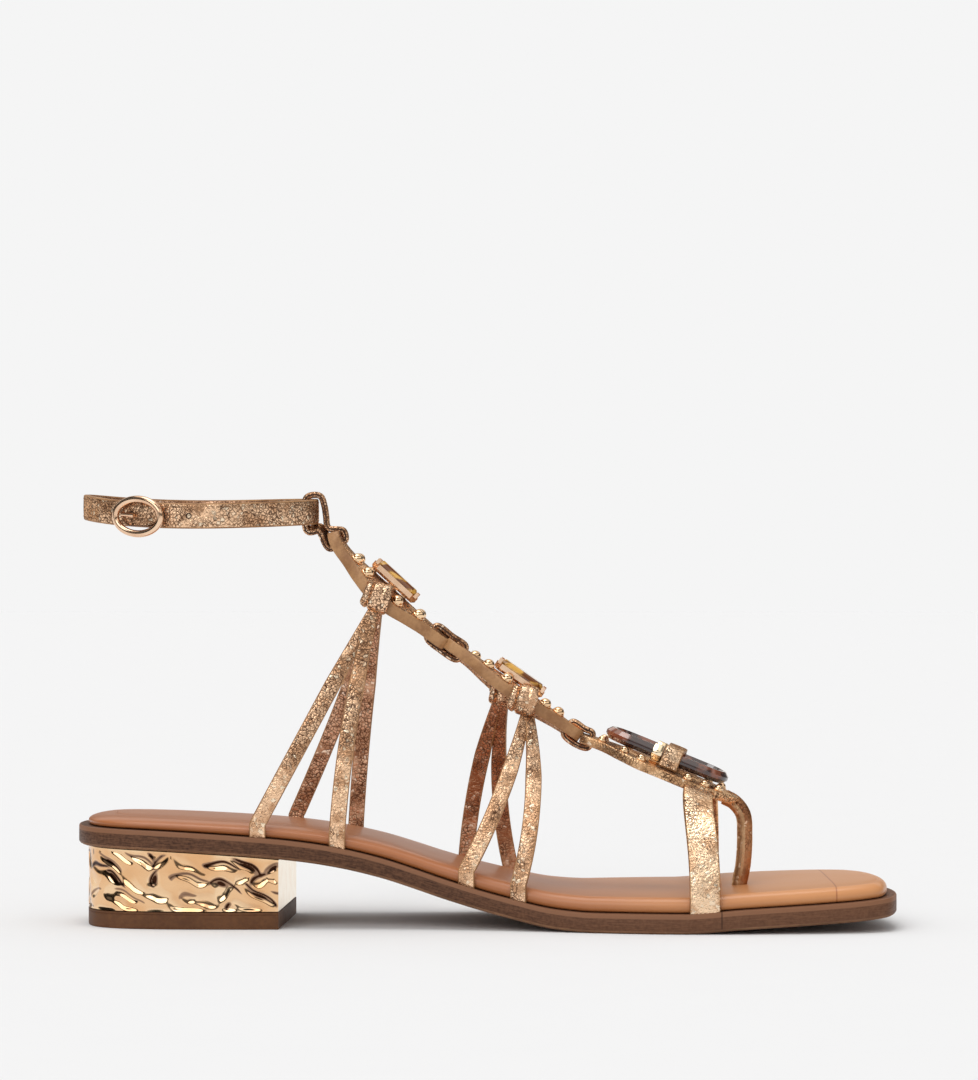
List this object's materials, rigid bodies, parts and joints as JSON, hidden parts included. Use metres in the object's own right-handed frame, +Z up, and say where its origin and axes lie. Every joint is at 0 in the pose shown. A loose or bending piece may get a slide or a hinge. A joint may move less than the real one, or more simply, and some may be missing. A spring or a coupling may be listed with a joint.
{
  "type": "gladiator sandal",
  "caption": "Left gladiator toe-post sandal with a linked spine of plaques, narrow side straps, a buckled ankle strap and a low block heel, standing empty on its sole.",
  "frame": {"origin": "on the floor under the middle of the sole's length and width", "axes": "+X to the toe, +Y to the outer side of the foot, +Z up"},
  "size_m": [0.2532, 0.086, 0.134],
  "materials": {
    "brown_leather": "stacked dark brown leather, satin edge with fine grain",
    "tan_leather": "smooth glossy padded leather",
    "gold_plate": "polished gold plate, hammered on the sides of the heel",
    "brown_rubber": "matt",
    "gold_leather": "crackled metallic champagne gold over tan leather",
    "amber_glass": "clear cut amber glass",
    "tortoiseshell": "polished dark tortoiseshell resin"
  },
  "bodies": {
    "root": {"outsole": "brown_leather", "insole": "tan_leather", "heel_block": "gold_plate", "top_lift": "brown_rubber", "forefoot_upper": "gold_leather", "instep_upper": "gold_leather", "ankle_upper": "gold_leather", "link_ankle": "gold_leather", "link_instep": "gold_leather", "link_forefoot": "gold_leather", "ankle_strap": "gold_leather", "buckle_frame": "gold_plate", "buckle_prong": "gold_plate", "crystal_ankle": "amber_glass", "crystal_instep": "amber_glass", "setting_ankle": "gold_plate", "setting_instep": "gold_plate", "tortoise_ring": "tortoiseshell", "ring_wrap": "gold_leather", "cuff_inner": "gold_plate", "cuff_outer": "gold_plate", "stud_ankle_inner_1": "gold_plate", "stud_ankle_inner_2": "gold_plate", "stud_ankle_inner_3": "gold_plate", "stud_ankle_inner_4": "gold_plate", "stud_ankle_outer_1": "gold_plate", "stud_ankle_outer_2": "gold_plate", "stud_ankle_outer_3": "gold_plate", "stud_ankle_outer_4": "gold_plate", "stud_instep_inner_1": "gold_plate", "stud_instep_inner_2": "gold_plate", "stud_instep_inner_3": "gold_plate", "stud_instep_inner_4": "gold_plate", "stud_instep_outer_1": "gold_plate", "stud_instep_outer_2": "gold_plate", "stud_instep_outer_3": "gold_plate", "stud_instep_outer_4": "gold_plate", "stud_forefoot_inner_1": "gold_plate", "stud_forefoot_inner_2": "gold_plate", "stud_forefoot_inner_3": "gold_plate", "stud_forefoot_inner_4": "gold_plate", "stud_forefoot_inner_5": "gold_plate", "stud_forefoot_inner_6": "gold_plate", "stud_forefoot_outer_1": "gold_plate", "stud_forefoot_outer_2": "gold_plate", "stud_forefoot_outer_3": "gold_plate", "stud_forefoot_outer_4": "gold_plate", "stud_forefoot_outer_5": "gold_plate", "stud_forefoot_outer_6": "gold_plate"}
  },
  "joints": []
}
